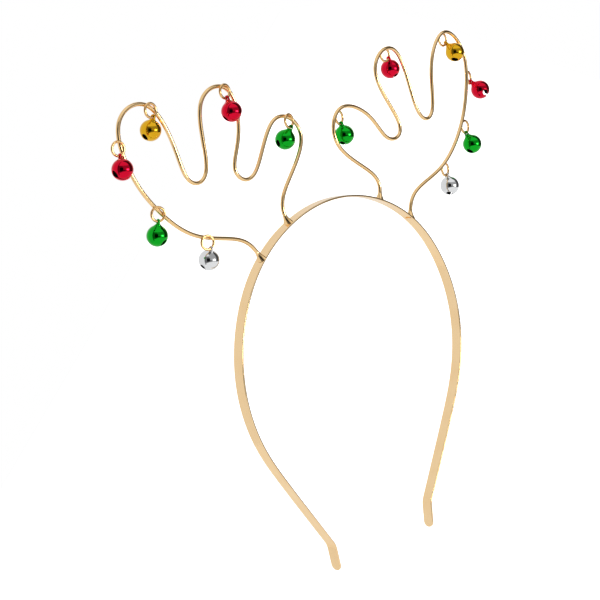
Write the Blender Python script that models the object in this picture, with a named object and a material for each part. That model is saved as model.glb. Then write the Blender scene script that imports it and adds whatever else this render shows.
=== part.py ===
# Reindeer antler headband: a sprung metal hair band, two bent wire antlers and twelve bells.
# Metres. +Z up, +X to the right of the photo, +Y to the back of the head.
# The origin is the top of the band's inner face, where it sits on the head.
import math

import bmesh
import bpy
import numpy as np
from mathutils import Matrix

# hair band
bandHalfWidth = 0.06375  # from the mirror line to the middle of the strip, where it is widest
bandHeight = 0.1348  # from the top of the arch down to the bend above each tip
stripWidth = 0.005
stripThickness = 0.0008
tipLength = 0.0110  # the straight end below the bend
tipInset = 0.0010  # how far the tip's end lies inside its bend
bendRoom = 0.0012  # from a bend to the strip's nearest sections

# antlers
antlerReach = 0.100  # from the mirror line to the outermost finger
antlerHeight = 0.056  # from the top of the band's inner face to the top of the fingers
antlerLean = math.radians(3.5)  # backwards, about the level of the feet
wireRadius = 0.0008
footHeight = 0.0038  # the flared solder foot, measured along the wire
footDepth = 0.0048  # across the strip
footLength = 0.0036  # along the strip

# rings
ringRadius = 0.0026  # to the middle of the ring's wire
ringWireRadius = 0.0004
ringSink = 0.0003  # how deep a ring is melted into the antler's wire

# bells
bellRadius = 0.0040
bellWall = 0.0004
slotWidth = 0.0009
slotEndRadius = 0.0013
slotEndAngle = math.radians(62)  # of the slot's end holes, from the bottom of the bell
loopWire = 0.0006  # how thick the loop is, seen from its side
loopWidth = 0.0007
neckRadius = 0.0012
loopRise = 0.0016  # from the top of the shell to the middle of the loop

clearance = 0.0003  # between a loop and its ring, and between a bell and the wires

# how finely the shapes are divided
stripSteps = 52
wireSteps = 68
wireSides = 8
ringSteps = 14
ringSides = 5
bellSides = 12
bellBands = 7
hollowSides = 10
hollowBands = 5

# The strip's middle line from the top down: place, share of bandHalfWidth, share of bandHeight.
bandRun = [
    ("top", 0.000, 0.000),
    ("crown", 0.400, 0.038),
    ("shoulder", 0.735, 0.144),
    ("temple", 0.938, 0.301),
    ("widest", 1.000, 0.471),
    ("above ear", 0.933, 0.628),
    ("behind ear", 0.790, 0.756),
    ("lower run", 0.638, 0.870),
    ("bend", 0.462, 1.000),
]

# Each antler's wire from its outer foot to its inner foot:
# place, then across (share of antlerReach) and up (share of antlerHeight) for left and right.
# The feet have no height of their own: they stand on the strip.
antlerRun = [
    ("outer foot", 0.428, None, 0.443, None),
    ("elbow", 0.518, -0.102, 0.510, -0.110),
    ("low run", 0.728, 0.004, 0.698, 0.017),
    ("belly", 0.888, 0.236, 0.859, 0.257),
    ("outer side", 0.976, 0.508, 0.947, 0.533),
    ("outer finger, rising", 0.982, 0.840, 0.972, 0.835),
    ("outer finger, top", 0.834, 0.909, 0.871, 1.000),
    ("outer finger, falling", 0.747, 0.609, 0.754, 0.770),
    ("first valley, in", 0.704, 0.365, 0.705, 0.443),
    ("first valley, out", 0.611, 0.433, 0.612, 0.490),
    ("middle finger, rising", 0.578, 0.842, 0.550, 0.934),
    ("middle finger, top", 0.428, 0.908, 0.405, 0.812),
    ("middle finger, falling", 0.417, 0.596, 0.487, 0.414),
    ("second valley, in", 0.470, 0.361, 0.408, 0.321),
    ("second valley, out", 0.370, 0.319, 0.317, 0.514),
    ("inner finger, top", 0.216, 0.639, 0.158, 0.612),
    ("inner finger, end", 0.090, 0.478, 0.110, 0.356),
    ("neck", 0.238, 0.138, 0.275, 0.093),
    ("inner foot", 0.250, None, 0.280, None),
]

# Each bell and its ring: name, side, colour, place along the wire (share of its length),
# how far out of the antler's outline the ring sits (share of ringRadius), the ring's turn,
# where on the ring the bell hangs, its lean along the ring, its swing out of the ring, and the
# turn of its slot (degrees).
bellTable = [
    ("bell_left_silver", -1, "silver", 0.095, 0.75, -12, 25, -20, -36, 5),
    ("bell_left_green", -1, "green", 0.172, 0.62, -18, -8, 0, -16, -60),
    ("bell_left_red", -1, "red", 0.260, 0.73, -6, 5, -20, 28, -5),
    ("bell_left_yellow", -1, "yellow", 0.345, -0.52, 0, 18, -16, -30, 5),
    ("bell_left_tip_red", -1, "red", 0.605, -0.69, 4, 15, -20, 14, -30),
    ("bell_left_inner_green", -1, "green", 0.849, -0.66, 10, 15, -20, -36, -20),
    ("bell_right_silver", 1, "silver", 0.109, 1.13, 10, 20, 4, -8, 15),
    ("bell_right_green", 1, "green", 0.178, 1.28, 6, 3, 12, 15, -12),
    ("bell_right_red", 1, "red", 0.244, 1.23, 24, 48, -20, 38, 55),
    ("bell_right_yellow", 1, "yellow", 0.329, -1.11, 6, 50, -20, 28, 10),
    ("bell_right_tip_red", 1, "red", 0.586, -0.95, 0, 50, -20, -24, 60),
    ("bell_right_inner_green", 1, "green", 0.846, -1.15, 12, 18, 8, -8, 5),
]

materialColours = {
    "gold": (0.83, 0.63, 0.38, 1.0),
    "silver": (0.80, 0.80, 0.82, 1.0),
    "green": (0.01, 0.35, 0.05, 1.0),
    "red": (0.60, 0.01, 0.05, 1.0),
    "yellow": (0.80, 0.52, 0.04, 1.0),
}


def clearScene():
    for thing in list(bpy.data.objects):
        bpy.data.objects.remove(thing, do_unlink=True)


def makeMaterial(name):
    material = bpy.data.materials.new(name)
    material.use_nodes = True
    shader = material.node_tree.nodes["Principled BSDF"]
    shader.inputs["Base Color"].default_value = materialColours[name.split("_")[0]]
    shader.inputs["Metallic"].default_value = 1.0
    shader.inputs["Roughness"].default_value = 0.12
    return material


def makeObject(name, points, faces):
    mesh = bpy.data.meshes.new(name)
    mesh.from_pydata([tuple(p) for p in points], [], [tuple(f) for f in faces])
    work = bmesh.new()
    work.from_mesh(mesh)
    bmesh.ops.recalc_face_normals(work, faces=work.faces)
    work.to_mesh(mesh)
    work.free()
    made = bpy.data.objects.new(name, mesh)
    bpy.context.scene.collection.objects.link(made)
    return made


def hideTool(tool):
    tool.hide_render = True
    tool.display_type = "WIRE"
    return tool


def joinOrCut(body, tool, how):
    step = body.modifiers.new(how.lower() + "_" + tool.name, "BOOLEAN")
    step.operation = how
    step.solver = "EXACT"
    step.object = tool
    hideTool(tool)


def settle(made, name):
    """The object's finished mesh, as a new object with no modifiers."""
    bpy.context.view_layer.update()
    graph = bpy.context.evaluated_depsgraph_get()
    mesh = bpy.data.meshes.new_from_object(made.evaluated_get(graph))
    mesh.name = name
    tools = [step.object for step in made.modifiers]
    done = bpy.data.objects.new(name, mesh)
    bpy.context.scene.collection.objects.link(done)
    for old in set(tools + [made]):
        bpy.data.objects.remove(old, do_unlink=True)
    return done


def smoothRun(points, count):
    """A natural cubic spline through the points, sampled at even steps of its length."""
    points = np.array(points, float)
    last = len(points) - 1
    system = np.eye(last + 1)
    pull = np.zeros_like(points)
    for i in range(1, last):
        system[i, i - 1 : i + 2] = (1, 4, 1)
        pull[i] = 6 * (points[i - 1] - 2 * points[i] + points[i + 1])
    bend = np.linalg.solve(system, pull)
    where = np.linspace(0, last, 60 * last + 1)
    low = np.minimum(where.astype(int), last - 1)
    u = (where - low)[:, None]
    w = 1 - u
    fine = w * points[low] + u * points[low + 1]
    fine += ((w**3 - w) * bend[low] + (u**3 - u) * bend[low + 1]) / 6
    return evenRun(fine, count)


def evenRun(fine, count):
    """The same line through points at even steps of its length."""
    run = np.concatenate([[0], np.cumsum(np.linalg.norm(np.diff(fine, axis=0), axis=1))])
    at = np.linspace(0, run[-1], count)
    return np.stack([np.interp(at, run, fine[:, k]) for k in range(fine.shape[1])], axis=1)


def bendRun(fine, count):
    """The same line at steps that lie closer together where it bends more sharply."""
    length = np.linalg.norm(np.diff(fine, axis=0), axis=1)
    ahead = alongRun(fine)
    turning = np.arccos(np.clip((ahead[1:] * ahead[:-1]).sum(axis=1), -1, 1))
    share = 0.35 * length / length.sum() + 0.65 * turning / turning.sum()
    run = np.concatenate([[0], np.cumsum(share)])
    at = np.linspace(0, 1, count)
    return np.stack([np.interp(at, run, fine[:, k]) for k in range(fine.shape[1])], axis=1)


def alongRun(path):
    """The direction of the path at each of its points."""
    step = np.gradient(path, axis=0)
    return step / np.linalg.norm(step, axis=1)[:, None]


def tube(path, sideways, outwards, halfSideways, halfOutwards, sides):
    """Points and faces of a closed tube: an oval at each path point, with a flat cap at each end."""
    turn = (np.arange(sides) + 0.5) * 2 * np.pi / sides
    a = np.cos(turn)[None, :, None] * sideways[:, None] * halfSideways[:, None, None]
    b = np.sin(turn)[None, :, None] * outwards[:, None] * halfOutwards[:, None, None]
    points = (path[:, None] + a + b).reshape(-1, 3)
    faces = []
    for i in range(len(path) - 1):
        for k in range(sides):
            n = (k + 1) % sides
            a0 = i * sides
            faces.append((a0 + k, a0 + n, a0 + sides + n, a0 + sides + k))
    faces.append(tuple(range(sides)))
    faces.append(tuple(range((len(path) - 1) * sides, len(path) * sides))[::-1])
    return points, faces


def ringShape(centre, flatA, flatB, radius, halfFlat, halfThick, steps, sides):
    """Points and faces of a closed ring that lies in the plane of flatA and flatB."""
    normal = np.cross(flatA, flatB)
    turn = np.arange(steps) * 2 * np.pi / steps
    out = np.cos(turn)[:, None] * flatA + np.sin(turn)[:, None] * flatB
    around = np.arange(sides) * 2 * np.pi / sides
    a = np.cos(around)[None, :, None] * out[:, None] * halfFlat
    b = np.sin(around)[None, :, None] * normal * halfThick
    points = (centre + radius * out[:, None] + a + b).reshape(-1, 3)
    faces = []
    for i in range(steps):
        for k in range(sides):
            j, n = (i + 1) % steps, (k + 1) % sides
            faces.append((i * sides + k, i * sides + n, j * sides + n, j * sides + k))
    return points, faces


# the strip's middle line, left end to right end
def bandMiddle():
    half = [(bandHalfWidth * a, -bandHeight * d) for _, a, d in bandRun]
    whole = [(-x, z) for x, z in half[:0:-1]] + half
    line = smoothRun(whole, 12 * stripSteps)
    end = np.array([line[-1, 0] - tipInset, line[-1, 1] - tipLength])
    tip = np.linspace(line[-1], end, 60)[1:]
    middle = np.concatenate([tip[::-1] * (-1, 1), line, tip])
    middle[:, 1] += 0.5 * stripThickness
    return middle


def outwardsOf(middle):
    ahead = alongRun(middle)
    return np.stack([-ahead[:, 1], ahead[:, 0]], axis=1)


# The strip: one box-shaped section at each step, and each tip narrowed to a half circle.
def makeStrip():
    middle = bandMiddle()
    run = np.concatenate([[0], np.cumsum(np.linalg.norm(np.diff(middle, axis=0), axis=1))])
    total = run[-1]
    half = 0.5 * stripWidth
    ends = half * (1 - np.cos(np.radians([18, 36, 54, 72])))
    knee = tipLength + np.array([-bendRoom, bendRoom])
    start = tipLength + 2.5 * bendRoom
    free = np.linspace(start, total - start, stripSteps)
    low = np.concatenate([[0], ends, [half], knee])
    at = np.concatenate([low, free, (total - low)[::-1]])
    line = np.stack([np.interp(at, run, middle[:, k]) for k in range(2)], axis=1)
    normals = outwardsOf(middle)
    normal = np.stack([np.interp(at, run, normals[:, k]) for k in range(2)], axis=1)
    normal /= np.linalg.norm(normal, axis=1)[:, None]
    fromEnd = np.minimum(np.minimum(at, total - at), half)
    wide = np.sqrt(np.maximum(half**2 - (half - fromEnd) ** 2, (0.12 * half) ** 2))
    t = 0.5 * stripThickness
    points = []
    for p, n, w in zip(line, normal, wide):
        for side, face in ((-1, 1), (1, 1), (1, -1), (-1, -1)):
            points.append((p[0] + face * t * n[0], side * w, p[1] + face * t * n[1]))
    faces = []
    for i in range(len(at) - 1):
        for k in range(4):
            n = (k + 1) % 4
            faces.append((4 * i + k, 4 * i + n, 4 * i + 4 + n, 4 * i + 4 + k))
    faces.append((0, 1, 2, 3))
    last = 4 * len(at) - 4
    faces.append((last + 3, last + 2, last + 1, last))
    return makeObject("headband_frame_strip", points, faces)


# Where a foot stands: the point of the strip's outer face at this distance from the mirror line.
def footOn(across):
    middle = bandMiddle()
    normals = outwardsOf(middle)
    widest = max(bandRun, key=lambda row: row[1])
    upper = middle[:, 1] > -widest[2] * bandHeight
    x, z = middle[upper, 0], middle[upper, 1]
    nx, nz = normals[upper, 0], normals[upper, 1]
    at = np.array([np.interp(across, x, x), np.interp(across, x, z)])
    normal = np.array([np.interp(across, x, nx), np.interp(across, x, nz)])
    normal /= np.linalg.norm(normal)
    return at + 0.5 * stripThickness * normal, normal


# The antler's plane leans back about the level of its feet.
def wirePath(side, count):
    column = 1 if side < 0 else 3
    rows = [(row[column], row[column + 1]) for row in antlerRun]
    outer, outerNormal = footOn(rows[0][0] * antlerReach)
    inner, innerNormal = footOn(rows[-1][0] * antlerReach)
    body = [(a * antlerReach, u * antlerHeight) for a, u in rows[1:-1]]
    sunk = 0.5 * stripThickness
    flat = [outer - sunk * outerNormal, *body, inner - sunk * innerNormal]
    line = smoothRun(flat, count)
    level = 0.5 * (outer[1] + inner[1])
    back = (line[:, 1] - level) * math.tan(antlerLean)
    return np.stack([side * line[:, 0], back, line[:, 1]], axis=1)


backwards = np.array([0, math.cos(antlerLean), -math.sin(antlerLean)])


# The middle of each of the wire's sections.
def wireSections(side):
    return bendRun(wirePath(side, 1201), wireSteps)


def makeWire(side):
    path = wireSections(side)
    ahead = alongRun(path)
    outwards = np.cross(backwards, ahead)
    outwards /= np.linalg.norm(outwards, axis=1)[:, None]
    sideways = np.tile(backwards, (len(path), 1))
    run = np.concatenate([[0], np.cumsum(np.linalg.norm(np.diff(path, axis=0), axis=1))])
    # extra sections in each foot, where the flare needs them
    extra = footHeight * np.array([0.12, 0.3, 0.45, 0.65, 0.8, 1.0])
    at = np.unique(np.concatenate([run, extra, run[-1] - extra]))
    path, sideways, outwards = (
        np.stack([np.interp(at, run, line[:, k]) for k in range(3)], axis=1)
        for line in (path, sideways, outwards)
    )
    outwards /= np.linalg.norm(outwards, axis=1)[:, None]
    fromEnd = np.minimum(at, at[-1] - at)
    flare = np.clip(1 - fromEnd / footHeight, 0, 1) ** 2
    deep = wireRadius + flare * (0.5 * footDepth - wireRadius)
    long = wireRadius + flare * (0.5 * footLength - wireRadius)
    points, faces = tube(path, sideways, outwards, deep, long, wireSides)
    return makeObject("wire_left" if side < 0 else "wire_right", points, faces)


def ringPlace(row):
    """The ring's centre, its two flat directions and the line of the wire it is soldered to."""
    side, along, off, turn = row[1], row[3], row[4], math.radians(row[5])
    path = wirePath(side, 801)
    ahead = alongRun(path)
    at = along * 800
    steps = np.arange(801)
    here = np.array([np.interp(at, steps, path[:, k]) for k in range(3)])
    heading = np.array([np.interp(at, steps, ahead[:, k]) for k in range(3)])
    outside = side * np.cross(backwards, heading)
    outside /= np.linalg.norm(outside)
    flat = np.array([math.cos(turn), math.sin(turn), 0])
    up = np.array([0, 0, 1])
    turns = np.linspace(0, 2 * np.pi, ringSteps + 1)[:, None]
    circle = evenRun(ringRadius * (np.cos(turns) * flat + np.sin(turns) * up), 8 * ringSteps + 1)
    solid = evenRun(wireSections(side), 1201)
    near = solid[np.abs(solid - here).max(axis=1) < 3 * ringRadius]
    # The ring lies against the wire's face, sunk into it by ringSink at the closest place.
    # Where it stands too far out to meet the wire, it moves in towards it.
    touching = wireRadius + ringWireRadius
    for share in np.linspace(1, 0, 41):
        for apart in np.linspace(touching, 0, 40):
            centre = here + share * off * ringRadius * outside + side * apart * backwards
            gap = np.linalg.norm((circle + centre)[:, None] - near[None], axis=2)
            if gap.min() <= touching - ringSink:
                return centre, flat, path
    return here, flat, path


def bellPlace(row):
    """Where a bell's loop sits on its ring, the ring's direction there and the way the bell hangs."""
    side = row[1]
    angle, lean, swing = (math.radians(turn) for turn in row[6:9])
    centre, flat, path = ringPlace(row)
    up = np.array([0, 0, 1])
    facing = np.cross(flat, up)
    down = math.sin(angle) * flat - math.cos(angle) * up
    tangent = math.cos(angle) * flat + math.sin(angle) * up
    loop = centre + ringRadius * down
    room = bellRadius + wireRadius + 2 * clearance
    # a bell that would touch the wire swings away from it, to the front or to the back
    for push in range(60):
        now = swing - side * math.radians(push)
        straight = math.cos(now) * down + math.sin(now) * facing
        hang = math.cos(lean) * straight + math.sin(lean) * tangent
        middle = loop + (bellRadius + loopRise) * hang
        if np.linalg.norm(path - middle, axis=1).min() >= room:
            break
    return loop, math.cos(lean) * tangent - math.sin(lean) * straight, hang


def makeFrame(material):
    frame = makeStrip()
    for side in (-1, 1):
        joinOrCut(frame, makeWire(side), "UNION")
    up = np.array([0, 0, 1])
    for number, row in enumerate(bellTable):
        centre, flat, _ = ringPlace(row)
        points, faces = ringShape(
            centre, flat, up, ringRadius, ringWireRadius, ringWireRadius, ringSteps, ringSides
        )
        joinOrCut(frame, makeObject(f"ring_{number}", points, faces), "UNION")
    made = settle(frame, "headband_frame")
    finish(made, material)
    return made


def ball(name, radius, sides, bands):
    work = bmesh.new()
    bmesh.ops.create_uvsphere(work, u_segments=sides, v_segments=bands, radius=radius)
    mesh = bpy.data.meshes.new(name)
    work.to_mesh(mesh)
    work.free()
    made = bpy.data.objects.new(name, mesh)
    bpy.context.scene.collection.objects.link(made)
    return made


def barrel(name, low, high, radiusLow, radiusHigh, sides):
    """A round bar between two points, with a radius at each end."""
    low, high = np.array(low, float), np.array(high, float)
    ahead = (high - low) / np.linalg.norm(high - low)
    helper = np.array([0, 1, 0]) if abs(ahead[1]) < 0.9 else np.array([1, 0, 0])
    a = np.cross(helper, ahead)
    a /= np.linalg.norm(a)
    b = np.cross(ahead, a)
    radii = np.array([radiusLow, radiusHigh])
    points, faces = tube(
        np.array([low, high]), np.array([a, a]), np.array([b, b]), radii, radii, sides
    )
    return makeObject(name, points, faces)


# The shell of a bell about its own middle, with its neck on top and its slot along X.
def makeShell():
    reach = bellRadius + loopRise
    shell = ball("bell_shell", bellRadius, bellSides, bellBands)
    neckTop = reach - ringWireRadius - clearance - 0.5 * loopWire
    neck = barrel(
        "neck",
        (0, 0, bellRadius - 2 * bellWall),
        (0, 0, neckTop),
        neckRadius,
        0.5 * loopWidth,
        8,
    )
    joinOrCut(shell, neck, "UNION")
    joinOrCut(shell, ball("hollow", bellRadius - bellWall, hollowSides, hollowBands), "DIFFERENCE")
    deep = bellRadius * math.cos(slotEndAngle)
    far = bellRadius * math.sin(slotEndAngle)
    slab = bmesh.new()
    bmesh.ops.create_cube(slab, size=1)
    for corner in slab.verts:
        corner.co.x *= 2 * far
        corner.co.y *= slotWidth
        corner.co.z = -deep if corner.co.z > 0 else -bellRadius - slotEndRadius
    mesh = bpy.data.meshes.new("slot")
    slab.to_mesh(mesh)
    slab.free()
    slot = bpy.data.objects.new("slot", mesh)
    bpy.context.scene.collection.objects.link(slot)
    joinOrCut(shell, slot, "DIFFERENCE")
    for side in (-1, 1):
        way = np.array([side * math.sin(slotEndAngle), 0, -math.cos(slotEndAngle)])
        hole = barrel(
            "hole_a" if side < 0 else "hole_b",
            0.5 * bellRadius * way,
            1.3 * bellRadius * way,
            slotEndRadius,
            slotEndRadius,
            8,
        )
        joinOrCut(shell, hole, "DIFFERENCE")
    return settle(shell, "bell_pattern")


def makeBell(pattern, row, material):
    """A bell with the middle of its loop on its ring and its slot turned about its own axis."""
    loop, tangent, hang = bellPlace(row)
    reach = bellRadius + loopRise
    loopRadius = ringWireRadius + clearance + 0.5 * loopWire
    shell = bpy.data.objects.new("shell", pattern.data.copy())
    bpy.context.scene.collection.objects.link(shell)
    shell.data.transform(Matrix.Rotation(math.radians(row[9]), 4, "Z"))
    points, faces = ringShape(
        np.array([0, 0, reach]),
        np.array([0, 1, 0]),
        np.array([0, 0, 1]),
        loopRadius,
        0.5 * loopWire,
        0.5 * loopWidth,
        10,
        5,
    )
    joinOrCut(shell, makeObject("loop", points, faces), "UNION")
    bell = settle(shell, row[0])
    across = np.cross(-hang, tangent)
    place = Matrix(
        (
            (tangent[0], across[0], -hang[0], loop[0]),
            (tangent[1], across[1], -hang[1], loop[1]),
            (tangent[2], across[2], -hang[2], loop[2]),
            (0, 0, 0, 1),
        )
    )
    bell.data.transform(place @ Matrix.Translation((0, 0, -reach)))
    finish(bell, material)


def finish(made, material):
    made.data.materials.clear()
    made.data.materials.append(material)
    for face in made.data.polygons:
        face.use_smooth = True
        face.material_index = 0
    made.data.set_sharp_from_angle(angle=math.radians(40))


clearScene()
makeFrame(makeMaterial("gold_frame"))
pattern = makeShell()
for row in bellTable:
    makeBell(pattern, row, makeMaterial(row[2] + "_" + row[0]))
bpy.data.objects.remove(pattern, do_unlink=True)
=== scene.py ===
import math

import bmesh
import bpy
import numpy as np
from mathutils import Matrix


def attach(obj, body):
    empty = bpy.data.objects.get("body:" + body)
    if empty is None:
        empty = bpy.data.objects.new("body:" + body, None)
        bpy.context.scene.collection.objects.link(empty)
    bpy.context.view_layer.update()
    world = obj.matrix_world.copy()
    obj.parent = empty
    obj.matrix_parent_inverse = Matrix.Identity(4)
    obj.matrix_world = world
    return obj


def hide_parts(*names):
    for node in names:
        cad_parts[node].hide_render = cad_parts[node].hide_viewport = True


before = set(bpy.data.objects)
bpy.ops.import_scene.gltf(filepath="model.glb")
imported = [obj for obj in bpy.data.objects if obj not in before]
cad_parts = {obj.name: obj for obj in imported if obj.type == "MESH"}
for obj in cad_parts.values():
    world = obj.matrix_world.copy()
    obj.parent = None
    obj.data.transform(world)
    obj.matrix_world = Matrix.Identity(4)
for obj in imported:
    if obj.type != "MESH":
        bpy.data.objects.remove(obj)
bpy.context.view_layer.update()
print("frame loaded:", len(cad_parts), "nodes")

mm = 0.001
samePoint = 2e-7  # in metres; points nearer than this become one

# camera, found by fitting the hair band's two edges to the photo
view = {
    "place": (-540.84, -531.48, 87.06),
    "azimuth": -44.11,
    "elevation": 9.371,
    "roll": -8.967,
    "lens": 114.87,
    "sensor": 36.0,
}


# The camera's own axes: right, up and back, from its azimuth, elevation and roll.
def cameraAxes(v):
    az, el, roll = (math.radians(v[k]) for k in ("azimuth", "elevation", "roll"))
    back = np.array([math.sin(az) * math.cos(el), -math.cos(az) * math.cos(el), math.sin(el)])
    right = np.cross(-back, (0, 0, 1))
    right /= np.linalg.norm(right)
    down = np.cross(-back, right)
    c, s = math.cos(roll), math.sin(roll)
    return c * right - s * down, -(s * right + c * down), back


cameraRight, cameraUp, cameraBack = cameraAxes(view)


def setCamera(v):
    data = bpy.data.cameras.new("photoCamera")
    data.lens = v["lens"]
    data.sensor_width = v["sensor"]
    data.clip_start = 0.01
    data.clip_end = 100
    camera = bpy.data.objects.new("photoCamera", data)
    bpy.context.scene.collection.objects.link(camera)
    turn = np.eye(4)
    turn[:3, 0], turn[:3, 1], turn[:3, 2] = cameraRight, cameraUp, cameraBack
    turn[:3, 3] = np.array(v["place"]) * mm
    camera.matrix_world = Matrix(turn.tolist())
    bpy.context.scene.camera = camera


setCamera(view)
print("camera set")


# A sheet of quads over a grid of points [row, column], closed round its columns where asked.
# Its UV map holds the run along the rows and the share of a turn across the columns.
def gridMesh(name, points, run=None, wrap=True, caps=False):
    rows, cols = points.shape[:2]
    number = np.arange(rows * cols).reshape(rows, cols)
    a = np.arange(cols if wrap else cols - 1)
    b = (a + 1) % cols
    quads = np.stack(
        [number[:-1][:, a], number[:-1][:, b], number[1:][:, b], number[1:][:, a]], axis=-1
    ).reshape(-1, 4)
    faces = quads.tolist()
    if caps:
        faces += [number[0][::-1].tolist(), number[-1].tolist()]
    mesh = bpy.data.meshes.new(name)
    mesh.from_pydata((points.reshape(-1, 3) * mm).tolist(), [], faces)
    run = np.arange(rows, dtype=float) if run is None else np.asarray(run, float)
    u = np.stack([run[:-1], run[:-1], run[1:], run[1:]], axis=-1)[:, None].repeat(len(a), axis=1)
    v = np.stack([a, a + 1, a + 1, a], axis=-1)[None].repeat(rows - 1, axis=0) / cols
    flat = np.stack([u, v], axis=-1).reshape(-1, 2)
    rest = sum(len(f) for f in faces[len(quads) :])
    flat = np.concatenate([flat, np.zeros((rest, 2))])
    layer = mesh.uv_layers.new(name="run")
    layer.data.foreach_set("uv", flat.ravel())
    return mesh


# One piece out of several closed sheets: doubles merged, faces outward and shaded smooth.
def makePiece(name, meshes, material, sharp=60):
    work = bmesh.new()
    for mesh in meshes:
        work.from_mesh(mesh)
        bpy.data.meshes.remove(mesh)
    bmesh.ops.remove_doubles(work, verts=work.verts, dist=samePoint)
    bmesh.ops.dissolve_degenerate(work, edges=work.edges, dist=0.5 * samePoint)
    bmesh.ops.recalc_face_normals(work, faces=work.faces)
    mesh = bpy.data.meshes.new(name)
    work.to_mesh(mesh)
    work.free()
    mesh.polygons.foreach_set("use_smooth", np.ones(len(mesh.polygons), bool))
    mesh.set_sharp_from_angle(angle=math.radians(sharp))
    mesh.materials.append(material)
    piece = bpy.data.objects.new(name, mesh)
    bpy.context.scene.collection.objects.link(piece)
    return piece


def fitToFrame(piece, node):
    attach(piece, "root")
    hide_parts(node)
    return piece


# Points at even steps of a line's length.
def evenRun(fine, count):
    run = np.concatenate([[0], np.cumsum(np.linalg.norm(np.diff(fine, axis=0), axis=1))])
    at = np.linspace(0, run[-1], count)
    return np.stack([np.interp(at, run, fine[:, k]) for k in range(fine.shape[1])], axis=1)


# A natural cubic spline: its second derivatives solve b[i-1] + 4 b[i] + b[i+1] = 6 (p'' of the knots).
def smoothRun(knots, count):
    knots = np.array(knots, float)
    last = len(knots) - 1
    inner = np.arange(1, last)
    system = np.eye(last + 1)
    system[inner, inner - 1] = 1
    system[inner, inner] = 4
    system[inner, inner + 1] = 1
    pull = np.zeros_like(knots)
    pull[1:-1] = 6 * (knots[:-2] - 2 * knots[1:-1] + knots[2:])
    bend = np.linalg.solve(system, pull)
    where = np.linspace(0, last, 60 * last + 1)
    low = np.minimum(where.astype(int), last - 1)
    u = (where - low)[:, None]
    w = 1 - u
    fine = w * knots[low] + u * knots[low + 1]
    fine += ((w**3 - w) * bend[low] + (u**3 - u) * bend[low + 1]) / 6
    return evenRun(fine, count)


def directions(path):
    step = np.gradient(path, axis=0)
    return step / np.linalg.norm(step, axis=1)[:, None]


# Surface of a sweep: path + cos(t) * half sizes along one side + sin(t) * half sizes along the other.
def sweep(path, sideA, sideB, halfA, halfB, sides):
    t = (np.arange(sides) + 0.5) * 2 * np.pi / sides
    a = np.cos(t)[None, :, None] * sideA[:, None] * np.asarray(halfA)[:, None, None]
    b = np.sin(t)[None, :, None] * sideB[:, None] * np.asarray(halfB)[:, None, None]
    return path[:, None] + a + b


def maths(tree, operation, a, b=0.0, c=0.0, clamp=False):
    made = tree.nodes.new("ShaderNodeMath")
    made.operation = operation
    made.use_clamp = clamp
    for socket, value in zip(made.inputs, (a, b, c)):
        if isinstance(value, bpy.types.NodeSocket):
            tree.links.new(value, socket)
        else:
            socket.default_value = value
    return made.outputs[0]


def noise(tree, vector, scale, detail=3.0, rough=0.5):
    made = tree.nodes.new("ShaderNodeTexNoise")
    tree.links.new(vector, made.inputs["Vector"])
    made.inputs["Scale"].default_value = scale
    made.inputs["Detail"].default_value = detail
    made.inputs["Roughness"].default_value = rough
    return made.outputs["Fac"]


def remap(tree, value, fromLow, fromHigh, toLow, toHigh):
    made = tree.nodes.new("ShaderNodeMapRange")
    tree.links.new(value, made.inputs["Value"])
    for key, number in zip(("From Min", "From Max", "To Min", "To Max"), (fromLow, fromHigh, toLow, toHigh)):
        made.inputs[key].default_value = number
    return made.outputs["Result"]


def mixColour(tree, share, one, two):
    made = tree.nodes.new("ShaderNodeMix")
    made.data_type = "RGBA"
    for index, value in ((0, share), (6, one), (7, two)):
        if isinstance(value, bpy.types.NodeSocket):
            tree.links.new(value, made.inputs[index])
        else:
            made.inputs[index].default_value = value
    return made.outputs[2]


goldLook = {
    "tone": (1.0, 0.735, 0.425, 1),
    "deepTone": (0.97, 0.69, 0.375, 1),
    "roughness": (0.05, 0.11),
    "grain": 900.0,  # noise scale of the finest grain, per metre
    "cloud": 90.0,  # noise scale of the slow change of tone, per metre
    "relief": 0.00005,  # depth of the grain and the lines, in metres
    "bump": 0.02,  # strength of the grain
    "lines": 0.025,  # strength of the drawing lines along the metal
}


# Polished plating: a slow change of tone, fine grain, and faint lines along the run of the metal.
def goldPlating(name, look, lineScale):
    material = bpy.data.materials.new(name)
    material.use_nodes = True
    tree = material.node_tree
    shader = tree.nodes["Principled BSDF"]
    where = tree.nodes.new("ShaderNodeTexCoord")
    place = where.outputs["Object"]
    slow = noise(tree, place, look["cloud"], 3.0, 0.55)
    fine = noise(tree, place, look["grain"], 4.0, 0.6)
    turned = tree.nodes.new("ShaderNodeMapping")
    tree.links.new(where.outputs["UV"], turned.inputs["Vector"])
    turned.inputs["Scale"].default_value = (lineScale[0], lineScale[1], 1)
    lines = noise(tree, turned.outputs["Vector"], 1.0, 5.0, 0.7)
    tone = mixColour(tree, remap(tree, slow, 0.35, 0.7, 0.0, 1.0), look["tone"], look["deepTone"])
    tree.links.new(tone, shader.inputs["Base Color"])
    mixed = maths(tree, "ADD", maths(tree, "MULTIPLY", fine, 0.5), maths(tree, "MULTIPLY", lines, 0.5))
    low, high = look["roughness"]
    tree.links.new(remap(tree, mixed, 0.3, 0.7, low, high), shader.inputs["Roughness"])
    grain = tree.nodes.new("ShaderNodeBump")
    grain.inputs["Strength"].default_value = look["bump"]
    grain.inputs["Distance"].default_value = look["relief"]
    tree.links.new(fine, grain.inputs["Height"])
    drawn = tree.nodes.new("ShaderNodeBump")
    drawn.inputs["Strength"].default_value = look["lines"]
    drawn.inputs["Distance"].default_value = look["relief"]
    tree.links.new(lines, drawn.inputs["Height"])
    tree.links.new(grain.outputs["Normal"], drawn.inputs["Normal"])
    tree.links.new(drawn.outputs["Normal"], shader.inputs["Normal"])
    shader.inputs["Metallic"].default_value = 1.0
    return material


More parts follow.
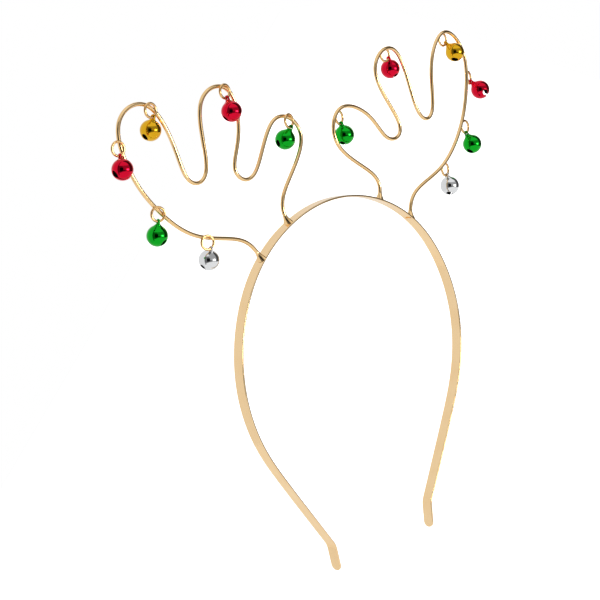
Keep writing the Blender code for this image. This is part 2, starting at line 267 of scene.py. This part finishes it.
# the round wires are plated a deeper gold than the strip
wireLook = {**goldLook, "tone": (0.98, 0.68, 0.345, 1), "deepTone": (0.95, 0.64, 0.30, 1)}
ringLook = {**goldLook, "tone": (0.92, 0.60, 0.28, 1), "deepTone": (0.86, 0.53, 0.22, 1)}

bandGold = goldPlating("bandGold", goldLook, (0.6, 30.0))
wireGold = goldPlating("wireGold", wireLook, (0.8, 14.0))
ringGold = goldPlating("ringGold", ringLook, (1.5, 6.0))
print("gold made")


band = {
    # the strip's middle line from the top down, right half
    "knots": [
        (0.0, 0.0),
        (25.5, -5.12),
        (46.86, -19.41),
        (59.8, -40.57),
        (63.75, -63.49),
        (59.48, -84.65),
        (50.36, -101.91),
        (40.67, -117.28),
        (29.45, -134.8),
    ],
    "tipLength": 11.0,
    "tipInset": 1.0,
    "bendReach": 1.6,  # how far the bend above a tip is rounded, each way
    "width": 5.0,
    "thickness": 0.8,
    "edge": 0.26,  # radius of the strip's rounded edges
    "step": 0.7,
}


def bandLine(b):
    knots = [(-x, z) for x, z in b["knots"][:0:-1]] + b["knots"]
    line = smoothRun(knots, 1600)
    end = np.array([line[-1, 0] - b["tipInset"], line[-1, 1] - b["tipLength"]])
    tip = np.linspace(line[-1], end, 60)[1:]
    whole = np.concatenate([tip[::-1] * (-1, 1), line, tip])
    whole[:, 1] += 0.5 * b["thickness"]
    return whole


# The line's corners rounded: each point is the mean of the line over a short reach either way.
def rounded(line, reach):
    run = np.concatenate([[0], np.cumsum(np.linalg.norm(np.diff(line, axis=0), axis=1))])
    at = np.linspace(0, run[-1], 3001)
    fine = np.stack([np.interp(at, run, line[:, k]) for k in range(2)], axis=1)
    offsets = np.linspace(-1, 1, 21)
    room = np.minimum(reach, np.minimum(at, at[-1] - at))
    places = at[:, None] + offsets[None] * room[:, None]
    return np.stack([np.interp(places, at, fine[:, k]).mean(axis=1) for k in range(2)], axis=1)


# A plate with rounded edges along the line. At inset d from its outline the half thickness is
# t - r + sqrt(r^2 - (r - d)^2), and each tip's outline is a half circle.
def makeBand(b):
    line = rounded(bandLine(b), b["bendReach"])
    run = np.concatenate([[0], np.cumsum(np.linalg.norm(np.diff(line, axis=0), axis=1))])
    total, half, t, r = run[-1], 0.5 * b["width"], 0.5 * b["thickness"], b["edge"]
    tip = half * (1 - np.cos(np.radians(np.linspace(0, 90, 24))))
    free = np.linspace(half, total - half, int((total - 2 * half) / b["step"]))
    s = np.concatenate([tip, free[1:-1], (total - tip)[::-1]])
    middle = np.stack([np.interp(s, run, line[:, k]) for k in range(2)], axis=1)
    fineAhead = directions(line)
    ahead = np.stack([np.interp(s, run, fineAhead[:, k]) for k in range(2)], axis=1)
    ahead /= np.linalg.norm(ahead, axis=1)[:, None]
    normal = np.stack([-ahead[:, 1], ahead[:, 0]], axis=1)
    fromEnd = np.minimum(np.minimum(s, total - s), half)[:, None]
    # half a section from the middle of the outer face round to the middle of the inner one
    flat = np.linspace(0, 1, 6)[None]
    turn = np.radians(np.linspace(90, 0, 8))[None, 1:]
    inset = np.minimum(r * (1 - np.cos(turn)), fromEnd)
    edgeInset = np.minimum(r, fromEnd)
    reachAt = lambda d: np.sqrt(np.maximum((half - d) ** 2 - (half - fromEnd) ** 2, 0))
    across = np.concatenate([flat * reachAt(edgeInset), reachAt(inset)], axis=1)
    rise = lambda d: t - r + np.sqrt(np.maximum(r**2 - (r - np.minimum(d, r)) ** 2, 0))
    high = np.concatenate([np.repeat(rise(edgeInset), 6, axis=1), rise(inset)], axis=1)
    # outer face from its middle, over one edge, across the inner face and up the other edge
    y = np.concatenate([across, across[:, ::-1], -across[:, 1:], -across[:, :0:-1]], axis=1)
    h = np.concatenate([high, -high[:, ::-1], -high[:, 1:], high[:, :0:-1]], axis=1)
    points = np.stack(
        [
            middle[:, None, 0] + h * normal[:, None, 0],
            y,
            middle[:, None, 1] + h * normal[:, None, 1],
        ],
        axis=-1,
    )
    return gridMesh("hairBand", points, run=s / 10)


fitToFrame(makePiece("hair_band", [makeBand(band)], bandGold, 50), "headband_frame")
print("hair band made")


antlers = {
    "wire": 0.8,  # radius
    "lean": 3.5,  # degrees backwards, about the level of the feet
    "sides": 28,
    "steps": 760,
    "footHeight": 3.8,
    "footDepth": 5.0,  # across the strip
    "footLength": 3.8,  # along the strip
    "flare": 1.7,  # how fast a foot widens
    "sunk": 0.4,  # how deep a foot goes into the strip
    "sunkRise": 0.85,  # the share of that depth that is upright
    # across and up for each place of the wire, from the outer foot to the inner foot
    "left": [
        (42.8, -15.18),
        (51.8, -5.71),
        (72.8, 0.22),
        (88.8, 13.22),
        (97.6, 28.45),
        (98.2, 47.04),
        (83.4, 50.9),
        (74.7, 34.1),
        (70.4, 20.44),
        (61.1, 24.25),
        (57.8, 47.15),
        (42.8, 50.85),
        (41.7, 33.38),
        (47.0, 20.22),
        (37.0, 17.86),
        (21.6, 35.78),
        (9.0, 26.77),
        (23.8, 7.73),
        (25.0, -4.52),
    ],
    "right": [
        (44.3, -16.51),
        (51.0, -6.16),
        (69.8, 0.95),
        (85.9, 14.39),
        (94.7, 29.85),
        (97.2, 46.76),
        (87.1, 56.0),
        (75.4, 43.12),
        (70.5, 24.81),
        (61.2, 27.44),
        (55.0, 52.3),
        (40.5, 45.47),
        (48.7, 23.18),
        (40.8, 17.98),
        (31.7, 28.78),
        (15.8, 34.27),
        (11.0, 19.94),
        (27.5, 5.21),
        (28.0, -5.81),
    ],
}
lean = math.radians(antlers["lean"])
backwards = np.array([0, math.cos(lean), -math.sin(lean)])


# The wire's spline in a flat plane, leant back about the mean level of its feet.
def antlerPath(a, side, count):
    knots = a["left"] if side < 0 else a["right"]
    line = smoothRun(knots, count)
    level = 0.5 * (knots[0][1] + knots[-1][1]) + a["sunk"] * a["sunkRise"]
    back = (line[:, 1] - level) * math.tan(lean)
    return np.stack([side * line[:, 0], back, line[:, 1]], axis=1)


# A round tube whose ends flare: half size = radius + (foot - radius) * (1 - distance / height)^flare.
def makeAntler(a, side):
    path = antlerPath(a, side, a["steps"])
    run = np.concatenate([[0], np.cumsum(np.linalg.norm(np.diff(path, axis=0), axis=1))])
    extra = np.linspace(0, a["footHeight"], 30)
    at = np.unique(np.round(np.concatenate([run, extra, run[-1] - extra]), 4))
    at = at[np.concatenate([[True], np.diff(at) > 0.03])]
    at[-1] = run[-1]
    path = np.stack([np.interp(at, run, path[:, k]) for k in range(3)], axis=1)
    ahead = directions(path)
    outwards = np.cross(backwards, ahead)
    outwards /= np.linalg.norm(outwards, axis=1)[:, None]
    sideways = np.tile(backwards, (len(path), 1))
    fromEnd = np.minimum(at, at[-1] - at)
    flare = np.clip(1 - fromEnd / a["footHeight"], 0, 1) ** a["flare"]
    deep = a["wire"] + flare * (0.5 * a["footDepth"] - a["wire"])
    long = a["wire"] + flare * (0.5 * a["footLength"] - a["wire"])
    points = sweep(path, sideways, outwards, deep, long, a["sides"])
    return gridMesh("antler", points, run=at / 10, caps=True)


for side, name in ((-1, "antler_left"), (1, "antler_right")):
    piece = makePiece(name, [makeAntler(antlers, side)], wireGold, 50)
    fitToFrame(piece, "headband_frame")
print("antlers made")


# name, side, colour, ring centre, then in degrees: the ring's turn, the bell's place on the ring,
# its lean along the ring, its swing out of the ring, its slot's turn, and the ring's cut
hangers = [
    ("left_silver", -1, "silver", (-68.96, -0.536, -3.154), -12, 25, -20, -36, 5, 60),
    ("left_green", -1, "green", (-89.596, 0.557, 11.698), -18, -8, 0, -16, -60, 70),
    ("left_red", -1, "red", (-101.642, 2.168, 38.033), -6, 5, -20, 28, -5, 100),
    ("left_yellow", -1, "yellow", (-83.132, 2.662, 49.13), 0, 18, -16, -30, 5, 40),
    ("left_tip_red", -1, "red", (-45.155, 2.615, 50.381), 4, 15, -20, 20, -30, 60),
    ("left_inner_green", -1, "green", (-14.982, 1.471, 34.189), 10, 15, -20, -36, -20, 60),
    ("right_silver", 1, "silver", (72.954, 1.755, -0.778), 10, 20, 4, -8, 15, 60),
    ("right_green", 1, "green", (90.238, 2.209, 14.695), 6, 3, 12, 15, -12, 40),
    ("right_red", 1, "red", (99.539, 3.987, 34.697), 24, 48, -20, 38, 55, 80),
    ("right_yellow", 1, "yellow", (86.955, 5.012, 52.971), 6, 50, -20, 28, 10, 20),
    ("right_tip_red", 1, "red", (49.245, 4.864, 51.552), 0, 50, -20, -24, 60, 20),
    ("right_inner_green", 1, "green", (15.58, 3.745, 30.737), 12, 18, 8, -8, 5, 30),
]

ring = {
    "radius": 2.6,  # to the middle of its wire
    "wire": 0.5,
    "gap": 4.0,  # degrees left open at the cut
    "steps": 96,
    "sides": 20,
    "bead": (0.75, 0.5, 0.5),  # half sizes of the solder bead along the wire, across and out
    "beadWave": 0.06,  # how uneven the bead is
}


# An open ring with flat ends: centre + radius * (cos, sin) and a round section about it.
def makeRing(r, centre, turn, cut):
    flat = np.array([math.cos(math.radians(turn)), math.sin(math.radians(turn)), 0])
    up = np.array([0, 0, 1.0])
    t = np.radians(cut + np.linspace(0.5 * r["gap"], 360 - 0.5 * r["gap"], r["steps"]))[:, None]
    out = np.cos(t) * flat + np.sin(t) * up
    path = np.array(centre) + r["radius"] * out
    normal = np.tile(np.cross(flat, up), (len(path), 1))
    size = np.full(len(path), r["wire"])
    points = sweep(path, out, normal, size, size, r["sides"])
    return gridMesh("ring", points, run=t[:, 0] * r["radius"] / 10, caps=True), path


# A bead of solder: an oval ball with a slow wave, 1 + wave * sin(3 b + 2 a), where ring and wire meet.
def makeBead(r, ringPath, wirePath):
    gap = np.linalg.norm(ringPath[:, None] - wirePath[None], axis=2)
    i, j = np.unravel_index(gap.argmin(), gap.shape)
    middle = 0.5 * (ringPath[i] + wirePath[j])
    along = directions(wirePath)[j]
    out = ringPath[i] - wirePath[j]
    out -= (out @ along) * along
    out /= np.linalg.norm(out)
    across = np.cross(along, out)
    a = np.linspace(0, np.pi, 17)[:, None, None]
    b = (np.arange(24) * 2 * np.pi / 24)[None, :, None]
    x, y, z = r["bead"]
    wave = 1 + r["beadWave"] * np.sin(3 * b + 2 * a)
    points = middle + wave * (
        x * np.cos(a) * along + np.sin(a) * (y * np.cos(b) * across + z * np.sin(b) * out)
    )
    return gridMesh("bead", points)


for name, side, colour, centre, turn, *rest in hangers:
    mesh, path = makeRing(ring, centre, turn, rest[-1])
    bead = makeBead(ring, path, antlerPath(antlers, side, 1400))
    piece = makePiece("ring_" + name, [mesh, bead], ringGold, 50)
    fitToFrame(piece, "headband_frame")
print("rings made")


lacquers = {
    "red": {"tone": (0.76, 0.003, 0.034, 1), "deep": (0.66, 0.002, 0.026, 1)},
    "green": {"tone": (0.004, 0.46, 0.020, 1), "deep": (0.003, 0.38, 0.016, 1)},
    "yellow": {"tone": (0.86, 0.50, 0.02, 1), "deep": (0.76, 0.40, 0.008, 1)},
    "silver": {"tone": (0.84, 0.85, 0.86, 1), "deep": (0.79, 0.80, 0.81, 1)},
}
lacquerLook = {
    "roughness": (0.03, 0.07),
    "grain": 700.0,  # noise scale of the finest grain, per metre
    "cloud": 160.0,  # noise scale of the slow change of tone, per metre
    "relief": 0.00006,  # depth of the orange peel, in metres
    "bump": 0.04,
    "coat": 0.08,
    "coatRoughness": 0.03,
}


# Coloured lacquer over bright metal: a clear coat over a tinted mirror with a faint orange peel.
def lacquer(name, tones, look):
    material = bpy.data.materials.new(name)
    material.use_nodes = True
    tree = material.node_tree
    shader = tree.nodes["Principled BSDF"]
    place = tree.nodes.new("ShaderNodeTexCoord").outputs["Object"]
    slow = noise(tree, place, look["cloud"], 3.0, 0.5)
    fine = noise(tree, place, look["grain"], 3.0, 0.55)
    tone = mixColour(tree, remap(tree, slow, 0.3, 0.75, 0.0, 1.0), tones["tone"], tones["deep"])
    tree.links.new(tone, shader.inputs["Base Color"])
    low, high = look["roughness"]
    tree.links.new(remap(tree, fine, 0.3, 0.7, low, high), shader.inputs["Roughness"])
    peel = tree.nodes.new("ShaderNodeBump")
    peel.inputs["Strength"].default_value = look["bump"]
    peel.inputs["Distance"].default_value = look["relief"]
    tree.links.new(slow, peel.inputs["Height"])
    tree.links.new(peel.outputs["Normal"], shader.inputs["Normal"])
    shader.inputs["Metallic"].default_value = 1.0
    shader.inputs["Coat Weight"].default_value = look["coat"]
    shader.inputs["Coat Roughness"].default_value = look["coatRoughness"]
    return material


finishes = {key: lacquer(key + "Lacquer", tones, lacquerLook) for key, tones in lacquers.items()}


# near-black tones: painted shade inside the hollow shell
insideShadeLook = {
    "tone": (0.035, 0.03, 0.026, 1),
    "deep": (0.012, 0.011, 0.01, 1),
    "blotch": 500.0,  # noise scale, per metre
    "roughness": (0.45, 0.7),
    "metallic": 0.6,
}


# The inside of a bell: near-black dull metal with a blotchy tone; the near-black is painted shade for the
# hollow shell.
def paintedShadeInside(look):
    material = bpy.data.materials.new("bellInsidePaintedShade")
    material.use_nodes = True
    tree = material.node_tree
    shader = tree.nodes["Principled BSDF"]
    place = tree.nodes.new("ShaderNodeTexCoord").outputs["Object"]
    blotch = noise(tree, place, look["blotch"], 4.0, 0.6)
    tone = mixColour(tree, blotch, look["tone"], look["deep"])
    tree.links.new(tone, shader.inputs["Base Color"])
    low, high = look["roughness"]
    tree.links.new(remap(tree, blotch, 0.3, 0.7, low, high), shader.inputs["Roughness"])
    shader.inputs["Metallic"].default_value = look["metallic"]
    return material


inside = paintedShadeInside(insideShadeLook)

bell = {
    "radius": 4.0,
    "wall": 0.4,
    "slot": 0.9,  # width
    "hole": 1.75,  # radius of the slot's end holes
    "holeAngle": 60.0,  # degrees from the bottom
    "wideSlots": {"right_red": 1.7},  # the bells whose slot is pulled open
    "blend": 0.05,  # how softly slot and holes run into each other
    "rise": 1.6,  # from the top of the shell to the middle of the ring's wire
    "loop": 0.75,  # half width of the loop, to the middle of its sheet
    "loopThick": 0.42,
    "loopWide": 0.75,
    "loopSunk": 0.25,  # how deep the loop's legs start inside the shell
    "loopSpread": 0.5,  # how far its legs spread at the foot
    "loopDrop": 0.02,  # how far its bend sits below the ring's middle
    "draw": (0.25, 0.27),  # how far the top is drawn up, as a share of the radius, and how wide
    "around": 120,
    "rows": 60,
    "edgeRows": 7,
    "innerRows": 18,
    "rowEase": (1.5, 1.25),  # how the outer and inner rows crowd, to the neck and to the slot
    "endSteps": 0.32,  # how much finer the steps are round the end holes
}


# The shell about its own middle. Round the bottom pole the surface is laid out in elliptic
# coordinates x = f cosh u cos v, y = f sinh u sin v with a focus in each end hole, starting at
# the slot's outline and easing to circles at the top, then wrapped on the ball: the distance
# from the pole is the angle from the bottom. The wall turns over the outline in a half round,
# and the outside's top is drawn up to a neck: radius * (1 + lift * exp(-(angle / width)^2)).
def makeShell(b):
    ball, wall = b["radius"], b["wall"]
    focus = math.radians(b["holeAngle"])
    hole, slit, soft = b["hole"] / ball, 0.5 * b["slot"] / ball, b["blend"]
    v = (np.arange(b["around"]) + 0.5) * 2 * np.pi / b["around"]
    v = v - b["endSteps"] * np.sin(2 * v)

    def outline(u):
        x, y = focus * np.cosh(u) * np.cos(v), focus * np.sinh(u) * np.sin(v)
        bar = np.maximum(np.abs(y) - slit, np.abs(x) - focus)
        knob = np.hypot(np.abs(x) - focus, y) - hole
        mix = np.clip(0.5 + 0.5 * (knob - bar) / soft, 0, 1)
        return knob * (1 - mix) + bar * mix - soft * mix * (1 - mix)

    low, high = np.zeros_like(v), np.full_like(v, 1.6)
    for _ in range(45):
        middle = 0.5 * (low + high)
        outside = outline(middle) > 0
        high = np.where(outside, middle, high)
        low = np.where(outside, low, middle)
    start = 0.5 * (low + high)
    stop = math.acosh(math.pi / focus)
    stretch = focus * np.sqrt(np.sinh(start) ** 2 + np.sin(v) ** 2)

    def layer(shares, radii, pull):
        s = np.asarray(shares, float)[:, None]
        u = start + (stop - start) * s - np.asarray(pull)[:, None] / stretch
        x, y = focus * np.cosh(u) * np.cos(v), focus * np.sinh(u) * np.sin(v)
        reach = focus * np.cosh(u)
        ease = s * s * (3 - 2 * s)
        x = (1 - ease) * x + ease * reach * np.cos(v)
        y = (1 - ease) * y + ease * reach * np.sin(v)
        away = np.hypot(x, y)
        lift, width = b["draw"]
        drawn = 1 + lift * np.exp(-(((np.pi - away) / width) ** 2))
        size = np.asarray(radii)[:, None] * (drawn if radii[0] == ball else 1)
        ring = np.sin(away) / np.maximum(away, 1e-9)
        return np.stack([size * ring * x, size * ring * y, -size * np.cos(away)], axis=-1)

    outerEase, innerEase = b["rowEase"]
    outer = layer(
        1 - np.linspace(0, 1, b["rows"]) ** outerEase,
        np.full(b["rows"], ball),
        np.zeros(b["rows"]),
    )
    turn = np.radians(np.linspace(0, 180, b["edgeRows"] + 2))[1:-1]
    edge = layer(
        np.zeros(len(turn)), ball - 0.5 * wall * (1 - np.cos(turn)), 0.5 * wall / ball * np.sin(turn)
    )
    inner = layer(
        np.linspace(0, 1, b["innerRows"]) ** innerEase,
        np.full(b["innerRows"], ball - wall),
        np.zeros(b["innerRows"]),
    )
    return gridMesh("shell", np.concatenate([outer, edge, inner]))


# The loop: a strip of sheet bent over the ring's wire. A leg's distance from the middle is
# loop + spread * (1 - share of its height)^2.5, and the bend above is a half circle.
def makeLoop(b):
    top = b["radius"] + b["rise"] - b["loopDrop"]
    leg = np.linspace(0, 1, 12)[:-1]
    foot = b["radius"] - b["loopSunk"]
    spread = b["loop"] + b["loopSpread"] * (1 - leg) ** 2.5
    arc = np.radians(np.linspace(180, 0, 22))
    y = np.concatenate([-spread, b["loop"] * np.cos(arc), spread[::-1]])
    z = np.concatenate(
        [foot + leg * (top - foot), top + b["loop"] * np.sin(arc), foot + leg[::-1] * (top - foot)]
    )
    path = np.stack([0 * y, y, z], axis=1)
    ahead = directions(path)
    wide = np.tile([1.0, 0, 0], (len(path), 1))
    thick = np.cross(ahead, wide)
    # section: a rounded strip, |x|^3 + |y|^3 = 1
    t = (np.arange(24) + 0.5) * 2 * np.pi / 24
    c, s = np.cos(t), np.sin(t)
    norm = (np.abs(c) ** 3 + np.abs(s) ** 3) ** (1 / 3)
    a = (c / norm)[None, :, None] * wide[:, None] * 0.5 * b["loopWide"]
    d = (s / norm)[None, :, None] * thick[:, None] * 0.5 * b["loopThick"]
    return gridMesh("loop", path[:, None] + a + d, caps=True)


# The faces that lie more than 0.6 of the wall inside the shell get the near-black inside material: painted
# shade for the hollow.
def paintInsideShade(mesh, b):
    mesh.materials.append(inside)
    middles = np.zeros(3 * len(mesh.polygons))
    mesh.polygons.foreach_get("center", middles)
    away = np.linalg.norm(middles.reshape(-1, 3), axis=1)
    inner = away < (b["radius"] - 0.6 * b["wall"]) * mm
    mesh.polygons.foreach_set("material_index", inner.astype(np.int32))


# Where a bell hangs: a place on the ring, the bell swung out of the ring and leant along it.
def bellPlace(centre, turn, place, lean, swing):
    turn, place, lean, swing = (math.radians(q) for q in (turn, place, lean, swing))
    flat = np.array([math.cos(turn), math.sin(turn), 0])
    up = np.array([0, 0, 1.0])
    facing = np.cross(flat, up)
    down = math.sin(place) * flat - math.cos(place) * up
    tangent = math.cos(place) * flat + math.sin(place) * up
    straight = math.cos(swing) * down + math.sin(swing) * facing
    hang = math.cos(lean) * straight + math.sin(lean) * tangent
    through = math.cos(lean) * tangent - math.sin(lean) * straight
    loop = np.array(centre) + ring["radius"] * down
    matrix = np.eye(4)
    matrix[:3, 0], matrix[:3, 1], matrix[:3, 2] = through, np.cross(-hang, through), -hang
    matrix[:3, 3] = (loop + (bell["radius"] + bell["rise"]) * hang) * mm
    return Matrix(matrix.tolist())


for name, _, colour, centre, turn, place, bellLean, swing, slotTurn, _ in hangers:
    slot = bell["wideSlots"].get(name, bell["slot"])
    shell = makeShell({**bell, "slot": slot})
    shell.transform(Matrix.Rotation(math.radians(slotTurn), 4, "Z"))
    piece = makePiece("jingle_bell_" + name, [shell, makeLoop(bell)], finishes[colour], 50)
    paintInsideShade(piece.data, bell)
    piece.data.transform(bellPlace(centre, turn, place, bellLean, swing))
    fitToFrame(piece, "bell_" + name)
print("bells made")


studio = {
    "floor": -0.35,  # height, in metres
    # the floor's reach from the middle, in metres: left, right, front and back of the photo
    "floorReach": (0.36, 0.85, 1.12, 30.0),
    "floorTone": (0.93, 0.93, 0.93, 1),
    "floorGlow": 0.29,  # the paper's glow as the object sees it
    "floorGlowSeen": 1.0,  # and as the camera sees it
    "wall": 0.82,  # level of the light from everywhere else
    # panels seen from the object: name, left and right edge, lower and upper edge in degrees
    # from the camera, level, softness in degrees
    "panels": [
        ("ceiling", -42, 96, 34, 95, 0.88, 8),
        ("front, left half", -42, 8, -26, 36, 0.18, 6),
        ("front, right half", 8, 96, -26, 38, 0.40, 7),
        ("ledge left", -32, 4, -34, -22, 0.11, 3),
        ("ledge right", 40, 100, -34, -19, 0.28, 4),
        ("opening", -22, 15, -19, 18, 0.008, 3),
        ("stand", 4, 40, -15, -6, 0.02, 3),
        ("halo", 42, 82, -9, 11, 1.15, 5),
        ("gap at the right", 90, 146, -95, 95, 0.07, 6),
        ("seam", -48, -36, -75, 95, 0.12, 5),
    ],
    # a small lamp: left and right edge, lower and upper edge, level, softness
    "lamp": (56, 71, -3.5, 4.5, 16.0, 2.0),
    "lampTone": (1.0, 0.96, 0.8, 1),
}


# A sheet of paper in front of the camera's view, level, with its edges along the photo's axes.
def makeFloor(s):
    left, right, front, back = s["floorReach"]
    across = np.array([cameraRight[0], cameraRight[1]])
    across /= np.linalg.norm(across)
    towards = np.array([across[1], -across[0]])
    a = np.linspace(-left, right, 9)[None, :, None]
    b = np.linspace(-front, back, 9)[:, None, None]
    flat = a * across - b * towards
    corners = np.concatenate([flat, np.full((9, 9, 1), s["floor"])], axis=2)
    mesh = gridMesh("floor", corners / mm, wrap=False)
    material = bpy.data.materials.new("floorPaper")
    material.use_nodes = True
    tree = material.node_tree
    shader = tree.nodes["Principled BSDF"]
    place = tree.nodes.new("ShaderNodeTexCoord").outputs["Object"]
    pale = s["floorTone"]
    tint = mixColour(tree, noise(tree, place, 3.0, 2.0), pale, tuple(0.99 * q for q in pale[:3]) + (1,))
    tree.links.new(tint, shader.inputs["Base Color"])
    shader.inputs["Roughness"].default_value = 0.9
    shader.inputs["Specular IOR Level"].default_value = 0.0
    shader.inputs["Emission Color"].default_value = (1, 1, 1, 1)
    # the photo's ground is cut out to plain white
    seen = tree.nodes.new("ShaderNodeLightPath").outputs["Is Camera Ray"]
    glow = remap(tree, seen, 0.0, 1.0, s["floorGlow"], s["floorGlowSeen"])
    tree.links.new(glow, shader.inputs["Emission Strength"])
    mesh.materials.append(material)
    floor = bpy.data.objects.new("floor", mesh)
    bpy.context.scene.collection.objects.link(floor)


# A tent of soft-edged panels by direction, each laid over those before it, and a lamp.
def makeStudio(s):
    world = bpy.data.worlds.new("studio")
    bpy.context.scene.world = world
    world.use_nodes = True
    tree = world.node_tree
    where = tree.nodes.new("ShaderNodeTexCoord").outputs["Generated"]

    def along(axis):
        made = tree.nodes.new("ShaderNodeVectorMath")
        made.operation = "DOT_PRODUCT"
        tree.links.new(where, made.inputs[0])
        made.inputs[1].default_value = tuple(axis)
        return made.outputs["Value"]

    def within(value, low, high, soft):  # 1 between low and high
        away = maths(tree, "ABSOLUTE", maths(tree, "SUBTRACT", value, 0.5 * (low + high)))
        half = 0.5 * (high - low)
        return remap(tree, away, half - 0.5 * soft, half + 0.5 * soft, 1.0, 0.0)

    def both(a, b):
        return maths(tree, "MULTIPLY", a, b)

    def swap(level, share, new):  # the level, or the new one where share is 1
        return maths(tree, "ADD", level, both(share, maths(tree, "SUBTRACT", new, level)))

    x, y, z = along(cameraRight), along(cameraUp), along(cameraBack)
    aside = maths(tree, "DEGREES", maths(tree, "ARCTAN2", x, z))
    above = maths(tree, "DEGREES", maths(tree, "ARCSINE", y))
    level = s["wall"]
    for _, left, right, low, high, light, soft in s["panels"]:
        share = both(within(aside, left, right, soft), within(above, low, high, soft))
        level = swap(level, share, light)
    left, right, low, high, lampLevel, soft = s["lamp"]
    lamp = both(within(aside, left, right, soft), within(above, low, high, soft))
    # what the camera sees behind the object is plain white
    seen = tree.nodes.new("ShaderNodeLightPath").outputs["Is Camera Ray"]
    level = swap(level, seen, 1.0)
    base = tree.nodes["Background"]
    tree.links.new(level, base.inputs["Strength"])
    base.inputs["Color"].default_value = (1, 1, 1, 1)
    glow = tree.nodes.new("ShaderNodeBackground")
    glow.inputs["Color"].default_value = s["lampTone"]
    bright = both(maths(tree, "SUBTRACT", 1.0, seen), both(lamp, lampLevel))
    tree.links.new(bright, glow.inputs["Strength"])
    total = tree.nodes.new("ShaderNodeAddShader")
    tree.links.new(base.outputs[0], total.inputs[0])
    tree.links.new(glow.outputs[0], total.inputs[1])
    tree.links.new(total.outputs[0], tree.nodes["World Output"].inputs["Surface"])


makeFloor(studio)
makeStudio(studio)
bpy.context.scene.view_settings.view_transform = "Standard"
print("studio made")
